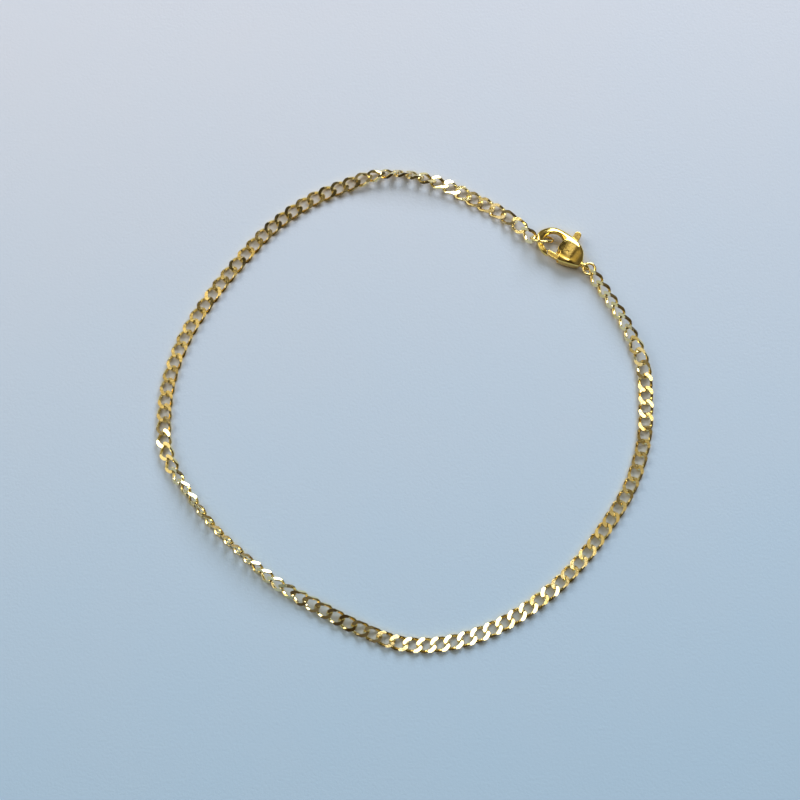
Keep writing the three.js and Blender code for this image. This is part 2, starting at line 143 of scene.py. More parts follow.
class Graph:
    """A node tree that is filled one call at a time."""

    def __init__(self, tree):
        self.tree = tree

    def node(self, kind, settings=None, values=None, output=0):
        made = self.tree.nodes.new(kind)
        for name, setting in (settings or {}).items():
            setattr(made, name, setting)
        for key, value in (values or {}).items():
            if isinstance(value, Value):
                self.tree.links.new(value.socket, made.inputs[key])
            else:
                made.inputs[key].default_value = value
        return Value(self, made.outputs[output]) if len(made.outputs) else made

    def blend(self, factor, first, second):
        """A colour between two, by a factor from 0 to 1."""
        return self.node("ShaderNodeMix", {"data_type": "RGBA"}, {0: factor, 6: first, 7: second}, 2)


# %% [markdown]
# ## Gold
#
# Gilt brass is a metal with a yellow base colour, and nearly all of its look comes from what it mirrors.
# What makes it real is small: the plating's colour drifts a little, the polish is uneven, and handling
# leaves hairline scratches. Each comes from noise on Object coordinates, at its own scale. The links also
# differ a little from one another, which an attribute on the chain carries.

# %% Gold finishes
def noise(graph, where, size_mm, detail=2.0):
    """Noise with features of about this size."""
    values = {"Vector": where, "Scale": 1 / (size_mm * MM), "Detail": detail}
    return graph.node("ShaderNodeTexNoise", None, values)


def gold(name, pale, deep, polish, unevenness, link_tones):
    """Polished gilt brass. `polish` is the roughness at its smoothest."""
    material = bpy.data.materials.new(name)
    material.use_nodes = True
    material.node_tree.nodes.clear()
    graph = Graph(material.node_tree)
    where = graph.node("ShaderNodeTexCoord", output=3)
    drift = noise(graph, where, size_mm=1.6)
    if link_tones:
        tone = graph.node("ShaderNodeAttribute", {"attribute_name": "link_tone"}, output=2)
        drift = 0.45 * drift + 0.55 * tone
    color = graph.blend(drift, (*deep, 1), (*pale, 1))
    smears = noise(graph, where, size_mm=0.5, detail=4.0)
    roughness = polish + unevenness * smears
    stretching = {"Vector": where, "Scale": (1, 9, 3), "Rotation": (0, 0, 0.7)}
    stretch = graph.node("ShaderNodeMapping", None, stretching)
    scratches = noise(graph, stretch, size_mm=0.5, detail=3.0)
    ripple = noise(graph, where, size_mm=0.7, detail=1.0)
    height = 0.35 * scratches + 0.65 * ripple
    bump_values = {"Strength": 0.35, "Distance": 0.03 * MM, "Height": height}
    normal = graph.node("ShaderNodeBump", None, bump_values)
    metal_values = {
        "Base Color": color,
        "Metallic": 1.0,
        "Roughness": roughness,
        "Normal": normal,
    }
    metal = graph.node("ShaderNodeBsdfPrincipled", None, metal_values)
    graph.node("ShaderNodeOutputMaterial", None, {"Surface": metal})
    return material


CHAIN_GOLD = gold("chain_gold", (0.96, 0.84, 0.52), (0.87, 0.68, 0.26), 0.05, 0.12, True)
RING_GOLD = gold("ring_gold", (0.93, 0.76, 0.34), (0.86, 0.62, 0.18), 0.06, 0.12, False)
CLASP_GOLD = gold("clasp_gold", (0.95, 0.75, 0.27), (0.88, 0.61, 0.13), 0.06, 0.12, False)
for finish in (CHAIN_GOLD, RING_GOLD, CLASP_GOLD):
    print(finish.name, "is made of", len(finish.node_tree.nodes), "nodes")

# %% [markdown]
# ## Finished pieces
#
# A piece ends as a plain mesh in metres, with its object at the origin. One helper does this for all of
# them: it takes what the modifiers or nodes made, moves it to its place, scales it, and hides the CAD
# solid that it stands for.

# %% Finishing a piece
def new_object(name, mesh):
    made = bpy.data.objects.new(name, mesh)
    scene.collection.objects.link(made)
    return made


def evaluated_mesh(made):
    """The mesh that an object's modifiers make of it, as a plain mesh."""
    bpy.context.view_layer.update()
    ready = made.evaluated_get(bpy.context.evaluated_depsgraph_get())
    return bpy.data.meshes.new_from_object(ready)


def finish_piece(made, node, body, material, place=Matrix.Identity(4)):
    """Turns an object built in millimetres into the piece that stands for a CAD node."""
    mesh = evaluated_mesh(made)
    made.modifiers.clear()
    bpy.data.objects.remove(made)
    mesh.transform(Matrix.Scale(MM, 4) @ place)
    mesh.materials.clear()
    mesh.materials.append(material)
    piece = new_object(node + "_look", mesh)
    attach(piece, body)
    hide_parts(node)
    low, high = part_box(node)
    corners = np.array([v.co for v in mesh.vertices])
    off = max(np.abs(corners.min(0) - low).max(), np.abs(corners.max(0) - high).max())
    print(node, len(mesh.polygons), "faces, box within", round(off / MM, 2), "mm of its solid's")


# %% [markdown]
# ## Sizes
#
# These are the CAD model's own sizes, in millimetres. The dressed links keep the solids' length, width and
# pitch. Their wire is a little thicker, which takes from the openings only, and it is filed further down,
# at the sides too, because that gives fine chain its crisp crossings.

# %% Sizes of the chain
WIRE = 0.42
LINK_LENGTH = 2.52
LINK_WIDTH = 1.84
CHAIN_THICKNESS = 0.72
LINK_TWIST = 94
LINK_SQUARENESS = 2.5  # of a link's oval: 2 is an ellipse, and more is squarer
LINK_COUNT = 105
FIRST_HALF_COUNT = 53
JOIN_DEPTH = 0.035  # how far neighbouring solid links bite into each other
HALVES_GAP = 0.08
HALVES_STEP = -(HALVES_GAP + JOIN_DEPTH)
LINK_PITCH = LINK_LENGTH - 2 * WIRE + JOIN_DEPTH

LOOK_WIRE = 0.45
LOOK_THICKNESS = 0.66
LOOK_SQUARENESS = 3.0
SIDE_FILING = 0.1
LINK_WOBBLE = (0.03, 0.02, 0.02)  # the most that a link is off its true lie, in radians about X, Y and Z
OVAL_STEPS = 60
print("links:", LINK_COUNT, "of", LINK_LENGTH, "by", LINK_WIDTH, "mm, every", round(LINK_PITCH, 3), "mm")

# %% [markdown]
# The clasp has a frame of its own, with +X from its tail to its nose and +Y to the side of its gate. The
# rivet's solid says where that frame lies.

# %% The clasp's frame
CLASP_LENGTH = 7.0
CLASP_WIDTH = 4.1
CLASP_DEPTH = 2.0
CLASP_TURN = 144.7
PIVOT = Vector((0.335 * CLASP_LENGTH, -0.05 * CLASP_WIDTH, 0))

rivet_low, rivet_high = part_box("rivet_pin")
rivet_at = (rivet_low + rivet_high) / 2 / MM
CLASP_HEIGHT = rivet_at.z
clasp_turned = Matrix.Rotation(math.radians(CLASP_TURN), 4, "Z")
CLASP_FRAME = Matrix.Translation(rivet_at - clasp_turned @ PIVOT) @ clasp_turned
print("clasp's tail in mm:", [round(v, 3) for v in CLASP_FRAME.translation])


def level(degrees):
    """A level direction, at an angle seen from above."""
    return Vector((math.cos(math.radians(degrees)), math.sin(math.radians(degrees)), 0))


def round_points(centre, radius, height, count):
    """Points round a level circle."""
    step = 360 / count
    return [centre + level(i * step) * radius + Vector((0, 0, height)) for i in range(count)]


# %% [markdown]
# ## The two rings
#
# The end ring is soldered shut and stands on the surface, leaning over the clasp's hook. The jump ring
# is bent shut, so it shows a fine cut, and slopes down from the clasp's eye to the chain. Both are swept
# circles. Each is placed by the same angles as its solid, which also gives the points where the chain
# hooks in.

# %% Rings
RING_WIRE = 0.36
END_RING_OUTSIDE = 3.2
END_RING_SETBACK = 0.885  # from the clasp's nose back to the ring's middle
END_RING_TURN = 30  # degrees from the clasp's length to the ring's level diameter, from above
END_RING_LEAN = 58  # degrees from the surface to the ring's plane
END_RING_HOOK = -12  # degrees from the ring's level diameter to the chain
JUMP_RING_OUTSIDE = 1.88
JUMP_RING_TURN = 8  # degrees from the clasp's length to the line from the eye to the ring's middle
JUMP_RING_PULL = -22  # degrees from the clasp's length to the way that the chain pulls the ring
JUMP_RING_CUT = 3  # degrees of the ring that are open
EYE_HOLE = 0.75
EYE_WIRE = 0.42

END_RING_RADIUS = (END_RING_OUTSIDE - RING_WIRE) / 2
JUMP_RING_RADIUS = (JUMP_RING_OUTSIDE - RING_WIRE) / 2
EYE_RADIUS = (EYE_HOLE + EYE_WIRE) / 2
EYE_CENTRE = Vector((-EYE_RADIUS + EYE_WIRE / 3, 0, 0))


def frame_of(centre, first, second):
    """A frame at a point, with its X and Y along two directions."""
    turned = Matrix((first, second, first.cross(second))).transposed().to_4x4()
    return Matrix.Translation(centre) @ turned


def round_wire(radius, wire, cut=0.0, steps=96, sides=24):
    """A ring of round wire in the XY plane. A `cut`, in degrees, leaves it open at -Y with flat ends."""
    form = bmesh.new()
    opening = math.radians(cut)
    spread = np.linspace(opening / 2, 2 * math.pi - opening / 2, steps + 1)
    angles = spread - math.pi / 2
    if not cut:
        angles = angles[:-1]
    rings = []
    for angle in angles:
        out = Vector((math.cos(angle), math.sin(angle), 0))
        ring = []
        for around in np.linspace(0, 2 * math.pi, sides, endpoint=False):
            offset = out * math.cos(around) + Vector((0, 0, math.sin(around)))
            ring.append(form.verts.new(out * radius + offset * wire / 2))
        rings.append(ring)
    following = rings[1:] + ([] if cut else rings[:1])
    for ring, after in zip(rings, following):
        for i in range(sides):
            j = (i + 1) % sides
            form.faces.new((ring[i], after[i], after[j], ring[j])).smooth = True
    if cut:
        form.faces.new(rings[0])
        form.faces.new(reversed(rings[-1]))
    bmesh.ops.recalc_face_normals(form, faces=form.faces)
    mesh = bpy.data.meshes.new("ring")
    form.to_mesh(mesh)
    return new_object("ring", mesh)


def sloping(degrees, slope):
    """A direction that rises by `slope`, in radians, at an angle seen from above."""
    return level(degrees) * math.cos(slope) + Vector((0, 0, math.sin(slope)))


end_level = level(END_RING_TURN)
end_lean = sloping(END_RING_TURN + 90, math.radians(END_RING_LEAN))
end_height = END_RING_RADIUS * end_lean.z + RING_WIRE / 2 - CLASP_HEIGHT
end_centre = Vector((CLASP_LENGTH - END_RING_SETBACK, 0.05 * CLASP_WIDTH, end_height))
end_frame = CLASP_FRAME @ frame_of(end_centre, end_level, end_lean)
end_hook = end_frame @ (level(END_RING_HOOK) * END_RING_RADIUS)

finish_piece(
    round_wire(END_RING_RADIUS, RING_WIRE), "end_ring", "bracelet", RING_GOLD, end_frame
)

# %% [markdown]
# ## One link
#
# A curb link is an oval of wire that is twisted by about a right angle, so that its neighbours lie flat
# beside it. After the chain is made it is filed all along, which leaves the bright lozenges that catch
# the light. Geometry Nodes follow the same order: they bend a circle into the twisted oval, sweep
# eight-sided wire along it, file it with a Boolean, and put a copy at each point of the chain with a
# small wobble and a tone of its own.

# %% Link nodes
WIRE_SIDES = 8
SHARP_ANGLE = 27  # degrees between two faces, past which their edge isn't shaded smooth


def add_input(tree, name, kind, value=None):
    socket = tree.interface.new_socket(name, in_out="INPUT", socket_type="NodeSocket" + kind)
    if value is not None:
        socket.default_value = value


def curb_chain_nodes():
    """A node tree that hangs a twisted, filed link at each of the points that it is given."""
    tree = bpy.data.node_groups.new("curb chain", "GeometryNodeTree")
    add_input(tree, "Hooking points", "Geometry")
    add_input(tree, "Wire", "Float", LOOK_WIRE)
    add_input(tree, "Length", "Float", LINK_LENGTH)
    add_input(tree, "Width", "Float", LINK_WIDTH)
    add_input(tree, "Thickness", "Float", LOOK_THICKNESS)
    add_input(tree, "Side filing", "Float", SIDE_FILING)
    add_input(tree, "Twist", "Float", math.radians(LINK_TWIST))
    add_input(tree, "Wobble", "Vector", LINK_WOBBLE)
    add_input(tree, "Seed", "Int", 1)
    add_input(tree, "Finish", "Material")
    tree.interface.new_socket("Chain", in_out="OUTPUT", socket_type="NodeSocketGeometry")
    graph = Graph(tree)
    given = tree.nodes.new("NodeGroupInput")

    def asked(name):
        return Value(graph, given.outputs[name])

    # The twisted oval
    circle_values = {"Resolution": OVAL_STEPS, "Radius": 1.0}
    circle = graph.node("GeometryNodeCurvePrimitiveCircle", None, circle_values)
    position = graph.node("GeometryNodeInputPosition")
    lengthways = graph.node("ShaderNodeSeparateXYZ", None, {0: position}, 0).squared_off(LOOK_SQUARENESS)
    sideways = graph.node("ShaderNodeSeparateXYZ", None, {0: position}, 1).squared_off(LOOK_SQUARENESS)
    turn = -0.5 * asked("Twist") * lengthways
    reach = (asked("Length") - asked("Wire")) / 2
    spread = ((asked("Width") - asked("Wire")) / 2 + asked("Side filing")) * sideways
    oval = {0: reach * lengthways, 1: spread * turn.cosine(), 2: spread * turn.sine()}
    bent_to = graph.node("ShaderNodeCombineXYZ", None, oval)
    bent = graph.node("GeometryNodeSetPosition", None, {"Geometry": circle, "Position": bent_to})

    # Eight-sided wire, filed flat above, below and on both sides
    profile_values = {"Resolution": WIRE_SIDES, "Radius": asked("Wire") / 2}
    profile = graph.node("GeometryNodeCurvePrimitiveCircle", None, profile_values)
    swept = graph.node("GeometryNodeCurveToMesh", None, {"Curve": bent, "Profile Curve": profile})
    smooth = graph.node("GeometryNodeSetShadeSmooth", None, {"Geometry": swept})
    slab_sides = {0: 2 * asked("Length"), 1: asked("Width"), 2: asked("Thickness")}
    slab_size = graph.node("ShaderNodeCombineXYZ", None, slab_sides)
    slab = graph.node("GeometryNodeMeshCube", None, {"Size": slab_size})
    boolean = tree.nodes.new("GeometryNodeMeshBoolean")
    boolean.operation = "INTERSECT"
    boolean.solver = "EXACT"
    for operand in (slab, smooth):
        tree.links.new(operand.socket, boolean.inputs["Mesh 2"])
    filed = Value(graph, boolean.outputs[0])
    angle = graph.node("GeometryNodeInputMeshEdgeAngle")
    sharp_values = {0: angle, 1: math.radians(SHARP_ANGLE)}
    sharp = graph.node("FunctionNodeCompare", {"operation": "GREATER_THAN"}, sharp_values)
    edged_values = {"Geometry": filed, "Selection": sharp, "Shade Smooth": False}
    link = graph.node("GeometryNodeSetShadeSmooth", {"domain": "EDGE"}, edged_values)

    # A copy at each point, turned as the chain lies there
    stored = graph.node("GeometryNodeInputNamedAttribute", {"data_type": "FLOAT_VECTOR"}, {"Name": "turn"})
    lie = graph.node("FunctionNodeEulerToRotation", None, {0: stored})
    least = graph.node("ShaderNodeVectorMath", {"operation": "SCALE"}, {0: asked("Wobble"), "Scale": -1.0})
    wobble_values = {0: least, 1: asked("Wobble"), "Seed": asked("Seed")}
    wobble = graph.node("FunctionNodeRandomValue", {"data_type": "FLOAT_VECTOR"}, wobble_values)
    shaken = graph.node("FunctionNodeEulerToRotation", None, {0: wobble})
    turned = graph.node("FunctionNodeRotateRotation", {"rotation_space": "LOCAL"}, {0: lie, 1: shaken})
    copies = {"Points": asked("Hooking points"), "Instance": link, "Rotation": turned}
    chain = graph.node("GeometryNodeInstanceOnPoints", None, copies)
    tone_values = {2: 0.0, 3: 1.0, "Seed": asked("Seed") + 1}
    tone = graph.node("FunctionNodeRandomValue", {"data_type": "FLOAT"}, tone_values, 1)
    tone_storing = {"Geometry": chain, "Name": "link_tone", "Value": tone}
    toned = graph.node("GeometryNodeStoreNamedAttribute", {"domain": "INSTANCE"}, tone_storing)
    realized = graph.node("GeometryNodeRealizeInstances", None, {"Geometry": toned})
    finished = graph.node(
        "GeometryNodeSetMaterial", None, {"Geometry": realized, "Material": asked("Finish")}
    )
    graph.node("NodeGroupOutput", None, {"Chain": finished})
    return tree


link_tree = curb_chain_nodes()
print("a run of links is made by", len(link_tree.nodes), "nodes")

# %% [markdown]
# ## The chain's way
#
# The chain lies in an uneven loop, and stands on its edge at two bends. A few chosen points give the way
# that it takes, in shares of the loop's size, each with the chain's roll there. A smooth curve runs
# through them, and the loop grows until all the links fill it, as in the CAD model.

# %% The chosen points
CLASP_SHARE = Vector((0.7633, 0.6067))  # where the clasp's tail is, in the same shares as the points

# Each point: its X and Y as shares, and the chain's roll there in degrees
ROUTE = [
    (0.475, 0.8037, -8),
    (0.3917, 0.8627, 0),
    (0.3003, 0.9087, 4),
    (0.2063, 0.9583, 14),
    (0.1053, 0.9953, 38),
    (-0.001, 1.0217, 60),
    (-0.11, 1.0193, 38),
    (-0.215, 0.9893, 6),
    (-0.4123, 0.9043, 0),
    (-0.5823, 0.7783, 0),
    (-0.7203, 0.623, 0),
    (-0.844, 0.4587, 0),
    (-0.9493, 0.2763, 0),
    (-1.0127, 0.0703, 0),
    (-1.021, -0.1473, 10),
    (-0.993, -0.253, 34),
    (-0.939, -0.3487, 60),
    (-0.8137, -0.5163, 78),
    (-0.671, -0.6527, 76),
    (-0.5253, -0.773, 52),
    (-0.3627, -0.8637, 24),
    (-0.1923, -0.95, 8),
    (-0.0023, -1.0167, 0),
    (0.1997, -1.0077, 0),
    (0.3907, -0.9393, 0),
    (0.5627, -0.8317, -4),
    (0.7123, -0.6947, 0),
    (0.8383, -0.5333, 4),
    (0.9503, -0.3537, 0),
    (1.0143, -0.147, 0),
    (1.025, 0.072, -10),
    (1.013, 0.182, -26),
    (0.971, 0.2843, -50),
    (0.9247, 0.3827, -62),
]
START_ROLL = -76
FINISH_ROLL = ROUTE[-1][2]
print("the way has", len(ROUTE), "chosen points")

# %% [markdown]
# ### How a link rests
#
# A flat link lies lower than one that is rolled on its edge. How high its middle is comes from points on
# the wire's surface: the lowest of them, at that roll, has to touch the board.

# %% Resting height
def squared_off(value, squareness):
    """A cosine or sine, or many, on a squared oval instead of a circle."""
    return np.sign(value) * np.abs(value) ** (2 / squareness)


def wire_surface(wire, thickness, squareness, side_filing):
    """Points on one link's wire, with the filed sides flat."""
    angles = np.linspace(0, 2 * math.pi, OVAL_STEPS, endpoint=False)
    lengthways = squared_off(np.cos(angles), squareness)
    sideways = squared_off(np.sin(angles), squareness)
    turn = -math.radians(LINK_TWIST / 2) * lengthways
    across = ((LINK_WIDTH - wire) / 2 + side_filing) * sideways
    reach = (LINK_LENGTH - wire) / 2 * lengthways
    centres = np.column_stack([reach, across * np.cos(turn), across * np.sin(turn)])
    ahead = np.roll(centres, -1, axis=0) - np.roll(centres, 1, axis=0)
    ahead /= np.linalg.norm(ahead, axis=1)[:, None]
    side = np.cross(ahead, [0, 0, 1])
    side /= np.linalg.norm(side, axis=1)[:, None]
    up = np.cross(side, ahead)
    around = np.linspace(0, 2 * math.pi, 24, endpoint=False)
    rounds = [side * math.cos(a) + up * math.sin(a) for a in around]
    points = np.vstack([centres + offset * wire / 2 for offset in rounds])
    points[:, 1] = np.clip(points[:, 1], -LINK_WIDTH / 2, LINK_WIDTH / 2)
    points[:, 2] = np.clip(points[:, 2], -thickness / 2, thickness / 2)
    return points


SOLID_LINK = wire_surface(WIRE, CHAIN_THICKNESS, LINK_SQUARENESS, 0)
LOOK_LINK = wire_surface(LOOK_WIRE, LOOK_THICKNESS, LOOK_SQUARENESS, SIDE_FILING)


def rest_height(roll, link=SOLID_LINK):
    """How high a link's middle is when it lies on the surface at a roll."""
    sine = math.sin(math.radians(roll))
    cosine = math.cos(math.radians(roll))
    return -(link[:, 1] * sine + link[:, 2] * cosine).min()


for name, roll in (("flat", 0), ("on its edge", 90)):
    print("a dressed link that lies", name, "has its middle at", round(rest_height(roll, LOOK_LINK), 2), "mm")

# %% [markdown]
# ### Where the chain hooks in
#
# The jump ring slopes from the clasp's eye down to the chain's last link. Its slope follows from how far
# it has to drop, and its far point is where the chain ends. The chain begins at the end ring's own point.

# %% The jump ring's frame
RING_GAP = 0.06
HOOK_DISTANCE = (JOIN_DEPTH + RING_WIRE) / 2 + RING_GAP
bend = math.radians(JUMP_RING_TURN - JUMP_RING_PULL)
drop = CLASP_HEIGHT - rest_height(FINISH_ROLL)
slope = math.asin(drop / (JUMP_RING_RADIUS * (1 + math.cos(bend))))
pull = sloping(180 + JUMP_RING_PULL, -slope)
across = level(270 + JUMP_RING_PULL)
jump_offset = pull * JUMP_RING_RADIUS * math.cos(bend) + across * JUMP_RING_RADIUS * math.sin(bend)
jump_frame = CLASP_FRAME @ frame_of(EYE_CENTRE + jump_offset, pull, across)
jump_hook = jump_frame @ Vector((JUMP_RING_RADIUS, 0, 0))
print("the jump ring slopes down by", round(math.degrees(slope), 1), "degrees")

# %% [markdown]
# ### The smooth way round
#
# The curve through the points is sampled finely. Halving steps then find the size of loop whose way is
# as long as the chain.

# %% The way round
def smooth_curve(knots, steps=40):
    """Points of a smooth curve through rows of numbers, with as many steps between each two rows."""
    knots = np.array(knots, float)
    rows = np.vstack([2 * knots[0] - knots[1], knots, 2 * knots[-1] - knots[-2]])
    t = np.linspace(0, 1, steps, endpoint=False)[:, None]
    curve = []
    for before, a, b, after in zip(rows, rows[1:], rows[2:], rows[3:]):
        leave = (b - before) / 2
        arrive = (after - a) / 2
        square = 3 * (b - a) - 2 * leave - arrive
        cube = 2 * (a - b) + leave + arrive
        curve.append(a + leave * t + square * t**2 + cube * t**3)
    return np.vstack([*curve, knots[-1:]])


def way_at(loop_size):
    """Samples (x, y, roll) of the chain's way, and the distance covered at each, seen from above."""
    tail = CLASP_FRAME.translation.xy
    knots = []
    for x, y, roll in ROUTE:
        place = tail + (Vector((x, y)) - CLASP_SHARE) * loop_size
        knots.append((*place, roll))
    leaving = (Vector(knots[0][:2]) - end_hook.xy).normalized()
    arriving = (jump_hook.xy - Vector(knots[-1][:2])).normalized()
    knots.insert(0, (*(end_hook.xy - leaving * HOOK_DISTANCE), START_ROLL))
    knots.append((*(jump_hook.xy + arriving * HOOK_DISTANCE), FINISH_ROLL))
    samples = smooth_curve(knots)
    steps = np.linalg.norm(np.diff(samples[:, :2], axis=0), axis=1)
    return samples, np.concatenate([[0], np.cumsum(steps)])


chain_length = LINK_COUNT * LINK_PITCH + HALVES_STEP
small = 0.1 * chain_length
large = 0.3 * chain_length
for _ in range(40):
    middle = (small + large) / 2
    if way_at(middle)[1][-1] < chain_length:
        small = middle
    else:
        large = middle
way, covered = way_at(large)
print("the loop's size is", round(large, 3), "mm, and the chain is", round(chain_length, 1), "mm long")

# %% [markdown]
# ## Hanging the links
#
# Each link lies between two hooking points on the way, turned by the chain's roll there. Near the rings
# the chain is lifted to them. The places and turns go into a mesh of bare points, one for each half of
# the chain, and the nodes turn each into a run of links.

# %% Both halves of the chain
LIFT_RUN = 5  # mm of chain over which a lift fades away
START_LIFT = max(end_hook.z, rest_height(START_ROLL)) - rest_height(START_ROLL, LOOK_LINK)
FINISH_LIFT = jump_hook.z - rest_height(FINISH_ROLL, LOOK_LINK)


def along(distance):
    """The way's x, y and roll at a distance along it."""
    return [float(np.interp(distance, covered, way[:, column])) for column in range(3)]


def faded(gone):
    """1 at a ring, and 0 from LIFT_RUN on."""
    share = min(max(1 - gone / LIFT_RUN, 0), 1)
    return share * share * (3 - 2 * share)


def hooking_point(distance):
    """A point of the chain's way, as high as the links on both sides of it need."""
    x, y, _ = along(distance)
    rolls = [along(distance + share * LINK_PITCH)[2] for share in (-0.7, -0.35, 0, 0.35, 0.7)]
    lift = START_LIFT * faded(distance) + FINISH_LIFT * faded(chain_length - distance)
    return Vector((x, y, max(rest_height(roll, LOOK_LINK) for roll in rolls) + lift))


def link_place(i):
    """Where link `i` lies: its middle, and its turn."""
    begin = i * LINK_PITCH + (0 if i < FIRST_HALF_COUNT else HALVES_STEP)
    back = hooking_point(begin)
    front = hooking_point(begin + LINK_PITCH)
    forward = (front - back).normalized()
    side = Vector((0, 0, 1)).cross(forward).normalized()
    lie = frame_of((back + front) / 2, forward, side)
    return lie @ Matrix.Rotation(math.radians(along(begin + LINK_PITCH / 2)[2]), 4, "X")


def chain_run(node, first, count, seed):
    """Makes the run of links, from link `first` on, that stands for one half of the chain."""
    places = [link_place(i) for i in range(first, first + count)]
    points = bpy.data.meshes.new("points")
    points.from_pydata([place.translation for place in places], [], [])
    turns = points.attributes.new("turn", "FLOAT_VECTOR", "POINT")
    for row, place in zip(turns.data, places):
        row.vector = place.to_euler()
    made = new_object("points", points)
    settings = {"Seed": seed, "Finish": CHAIN_GOLD}
    modifier = made.modifiers.new("links", "NODES")
    modifier.node_group = link_tree
    for item in link_tree.interface.items_tree:
        if item.in_out == "INPUT" and item.name in settings:
            modifier[item.identifier] = settings[item.name]
    finish_piece(made, node, "bracelet", CHAIN_GOLD)


chain_run("chain_first_half", 0, FIRST_HALF_COUNT, seed=11)
chain_run("chain_second_half", FIRST_HALF_COUNT, LINK_COUNT - FIRST_HALF_COUNT, seed=23)
finish_piece(
    round_wire(JUMP_RING_RADIUS, RING_WIRE, JUMP_RING_CUT),
    "jump_ring", "bracelet", RING_GOLD, jump_frame,
)

# %% [markdown]
# ## The clasp's body
#
# The body of a lobster clasp is cast in one piece and tumbled until every edge is soft. It is built the
# way a pattern maker would: a skin over cross-sections, with the hole, the mouth and the lever's slot cut
# out. A voxel remesh then turns it into an even mesh, and smoothing rounds the edges as tumbling does.
#
# Its sizes come first, again the CAD model's own, in millimetres in the clasp's frame.

# %% Sizes of the clasp
HOLE_CENTRE = Vector((0.662 * CLASP_LENGTH, -0.075 * CLASP_WIDTH, 0))
HOOK_HOLE = 2.55  # diameter of the hole in the hook, at the middle of its depth
HOOK_WALL_ROUNDING = 0.95
MOUTH_START = 3.15  # from the tail to the body's shoulder
LEVER_THICKNESS = 0.8
LEVER_REACH = 2.6  # from the rivet's middle to the end of the gate arm
LEVER_ARM = 0.6  # width of the gate arm
LEVER_TAB = 0.95  # width of the thumb tab
LEVER_HUB = 1.05  # diameter of the boss around the rivet
LEVER_RUNNING_GAP = 0.05  # around the rivet in the lever
LEVER_SIDE_GAP = 0.1
LEVER_OPENING = math.radians(20)
RIVET_DIAMETER = 0.5
GATE_LINE = HOLE_CENTRE.y + HOOK_HOLE / 2 + 0.15 * LEVER_ARM
ELBOW = Vector((MOUTH_START - 0.3 * LEVER_ARM, GATE_LINE, 0))
GATE_END = Vector((PIVOT.x + LEVER_REACH, GATE_LINE + 0.3 * LEVER_ARM, 0))
TAB_END = Vector((PIVOT.x + 0.25 * LEVER_TAB, -0.83 * CLASP_WIDTH + LEVER_TAB / 2, 0))
print("the gate arm's bend in the clasp's frame, in mm:", [round(v, 2) for v in ELBOW])

# %% [markdown]
# Every solid here is a skin over rings of points: over two level outlines it is a prism, and over a
# tapering row of ovals it is the casting. Booleans cut the prisms out of the casting.

# %% Solid helpers
ARC_SIDES = 128  # sides of a disc whose rim gives a piece its curve
TUMBLING = 5  # rounds of smoothing


def skin(name, rings):
    """A closed mesh over rings of points, with a face over each end."""
    form = bmesh.new()
    rows = [[form.verts.new(point) for point in ring] for ring in rings]
    for row, after in zip(rows, rows[1:]):
        for i in range(len(row)):
            j = (i + 1) % len(row)
            form.faces.new((row[i], row[j], after[j], after[i]))
    form.faces.new(rows[0])
    form.faces.new(rows[-1])
    bmesh.ops.recalc_face_normals(form, faces=form.faces)
    mesh = bpy.data.meshes.new(name)
    form.to_mesh(mesh)
    return new_object(name, mesh)


def prism(outline, thickness):
    """An upright solid on an outline in the XY plane, centred on z = 0."""
    return skin("prism", [[(p.x, p.y, z) for p in outline] for z in (-thickness / 2, thickness / 2)])


def disc(centre, diameter, thickness, sides=64):
    return prism(round_points(centre, diameter / 2, 0, sides), thickness)


def bar(start, end, width, thickness, ends=16):
    """A round-ended bar in the XY plane."""
    heading = math.degrees(math.atan2(end.y - start.y, end.x - start.x))
    fan = [i * 180 / ends - 90 for i in range(ends + 1)]
    outline = [end + level(heading + turn) * width / 2 for turn in fan]
    outline += [start + level(heading + 180 + turn) * width / 2 for turn in fan]
    return prism(outline, thickness)


def cut_or_join(made, operation, tool):
    """Applies a Boolean, and clears its tool away."""
    modifier = made.modifiers.new("boolean", "BOOLEAN")
    modifier.operation = operation
    modifier.solver = "MANIFOLD"
    modifier.object = tool
    mesh = evaluated_mesh(made)
    made.modifiers.clear()
    made.data = mesh
    bpy.data.objects.remove(tool)


def tumble(made, voxel):
    """Remeshes a casting evenly and rounds its edges. `voxel` is the size of the new faces."""
    remesh = made.modifiers.new("even mesh", "REMESH")
    remesh.mode = "VOXEL"
    remesh.voxel_size = voxel
    remesh.use_smooth_shade = True
    soften = made.modifiers.new("tumbling", "SMOOTH")
    soften.factor = 0.5
    soften.iterations = TUMBLING


# %% [markdown]
# ### Sections and cuts
#
# Each row of the table is a cross-section: how far along the clasp it lies, where its middle is, and how
# wide and deep it is there, all in shares of the clasp's size. The last number is its squareness, where 2
# would make it an ellipse: the tail has flat faces between ridges, and the hook is rounder. The same
# smooth curve that leads the chain fills in the rows between them.

# %% The body's sections
BODY_SECTIONS = [
    (0.0, 0.0, 0.085, 0.4, 3.2),
    (0.03, -0.018, 0.165, 0.6, 4.2),
    (0.1, -0.075, 0.283, 0.84, 5.5),
    (0.21, -0.1, 0.38, 1.0, 5.5),
    (0.34, -0.1, 0.447, 1.0, 4.6),
    (0.48, -0.105, 0.48, 0.93, 3.4),
    (0.62, -0.09, 0.5, 0.79, 2.9),
    (0.75, -0.085, 0.475, 0.64, 2.9),
    (0.86, -0.088, 0.385, 0.5, 2.9),
    (0.94, -0.08, 0.25, 0.39, 2.9),
    (0.985, -0.078, 0.13, 0.29, 2.9),
    (1.0, -0.075, 0.05, 0.18, 2.9),
]


